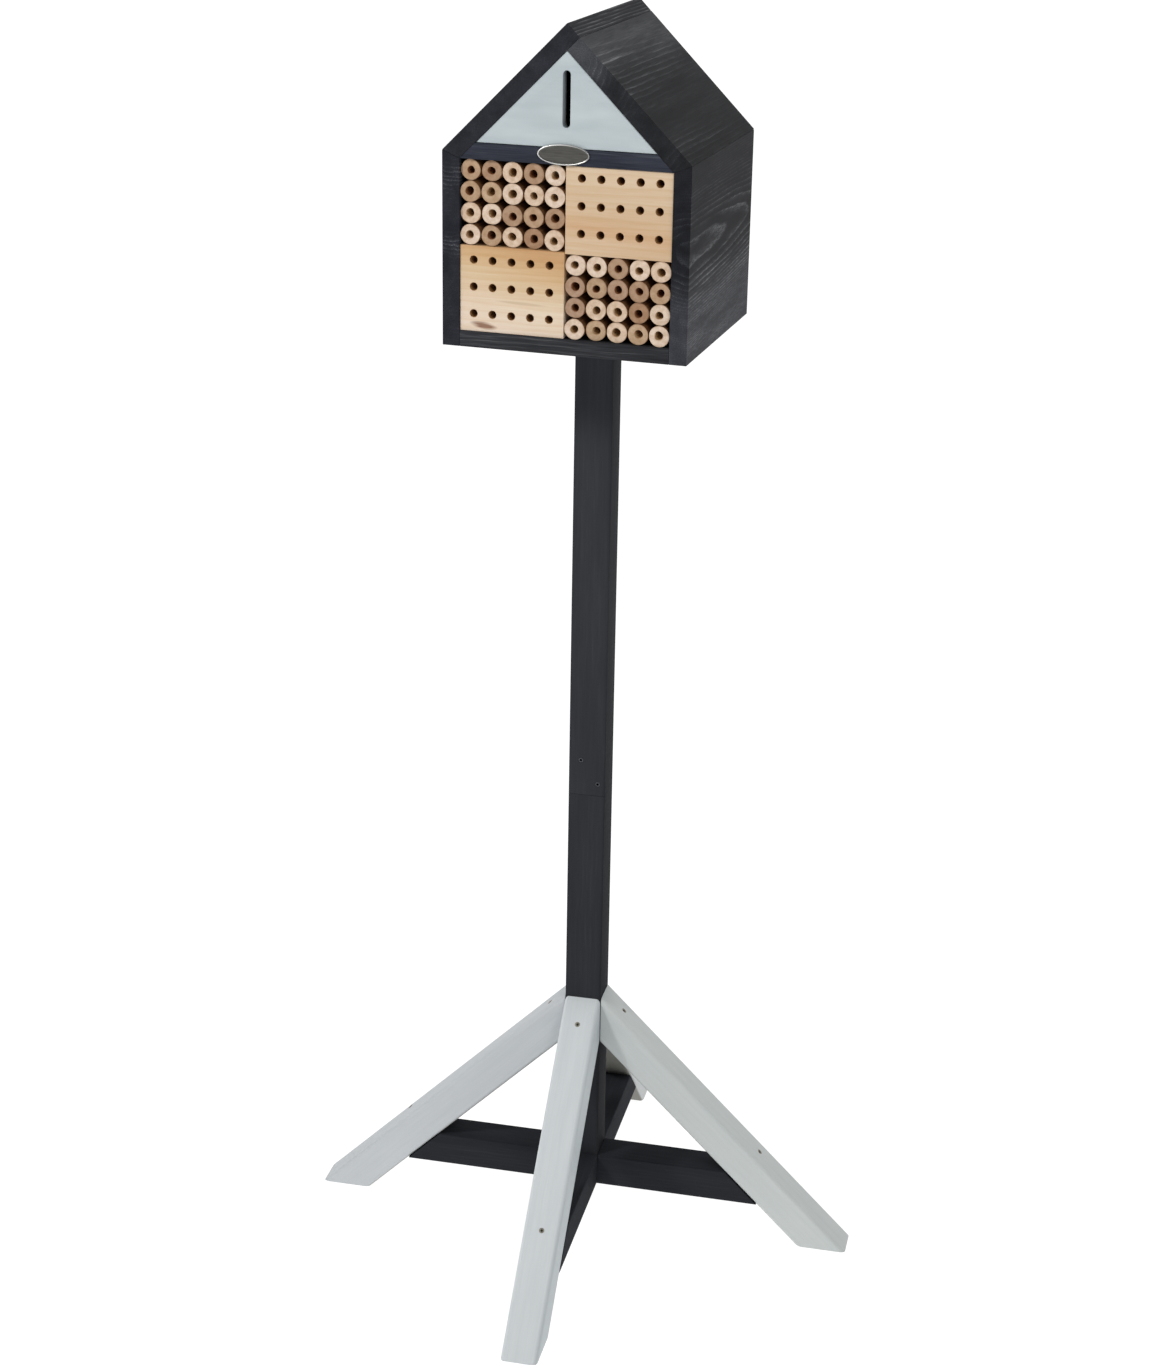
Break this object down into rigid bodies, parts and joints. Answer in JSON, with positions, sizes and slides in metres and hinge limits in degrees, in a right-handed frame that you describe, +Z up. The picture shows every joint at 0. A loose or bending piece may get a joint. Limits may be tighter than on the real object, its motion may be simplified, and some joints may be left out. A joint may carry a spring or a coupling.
{
  "type": "insect hotel",
  "caption": "Free-standing insect hotel: pitched-roof box of stained boards with bamboo tubes and drilled wood blocks, on a post with sloping legs.",
  "frame": {"origin": "on the ground, in the middle of the four feet, under the axis of the post", "axes": "+Z up, -Y out of the house front, +X to the right seen from the front"},
  "size_m": [0.6308, 0.6308, 1.382],
  "materials": {
    "stained_wood": "matte dark grey wood stain on planed softwood",
    "grey_painted_wood": "satin pale grey paint on planed softwood",
    "softwood": "bare sawn pine, end of the drilled holes left raw",
    "bamboo": "bare sawn bamboo",
    "plaque_metal": "satin, with a bright rim"
  },
  "bodies": {
    "root": {"left_wall": "stained_wood", "right_wall": "stained_wood", "left_roof_board": "stained_wood", "right_roof_board": "stained_wood", "floor_board": "stained_wood", "shelf_board": "stained_wood", "back_board": "stained_wood", "upper_post": "stained_wood", "lower_post": "stained_wood", "side_beam": "stained_wood", "cross_beam": "stained_wood", "gable_panel": "grey_painted_wood", "front_leg": "grey_painted_wood", "right_leg": "grey_painted_wood", "back_leg": "grey_painted_wood", "left_leg": "grey_painted_wood", "upper_nest_block": "softwood", "lower_nest_block": "softwood", "upper_bamboo_tube_01": "bamboo", "upper_bamboo_tube_02": "bamboo", "upper_bamboo_tube_03": "bamboo", "upper_bamboo_tube_04": "bamboo", "upper_bamboo_tube_05": "bamboo", "upper_bamboo_tube_06": "bamboo", "upper_bamboo_tube_07": "bamboo", "upper_bamboo_tube_08": "bamboo", "upper_bamboo_tube_09": "bamboo", "upper_bamboo_tube_10": "bamboo", "upper_bamboo_tube_11": "bamboo", "upper_bamboo_tube_12": "bamboo", "upper_bamboo_tube_13": "bamboo", "upper_bamboo_tube_14": "bamboo", "upper_bamboo_tube_15": "bamboo", "upper_bamboo_tube_16": "bamboo", "upper_bamboo_tube_17": "bamboo", "upper_bamboo_tube_18": "bamboo", "upper_bamboo_tube_19": "bamboo", "upper_bamboo_tube_20": "bamboo", "lower_bamboo_tube_01": "bamboo", "lower_bamboo_tube_02": "bamboo", "lower_bamboo_tube_03": "bamboo", "lower_bamboo_tube_04": "bamboo", "lower_bamboo_tube_05": "bamboo", "lower_bamboo_tube_06": "bamboo", "lower_bamboo_tube_07": "bamboo", "lower_bamboo_tube_08": "bamboo", "lower_bamboo_tube_09": "bamboo", "lower_bamboo_tube_10": "bamboo", "lower_bamboo_tube_11": "bamboo", "lower_bamboo_tube_12": "bamboo", "lower_bamboo_tube_13": "bamboo", "lower_bamboo_tube_14": "bamboo", "lower_bamboo_tube_15": "bamboo", "lower_bamboo_tube_16": "bamboo", "lower_bamboo_tube_17": "bamboo", "lower_bamboo_tube_18": "bamboo", "lower_bamboo_tube_19": "bamboo", "lower_bamboo_tube_20": "bamboo", "oval_plaque": "plaque_metal"}
  },
  "joints": []
}
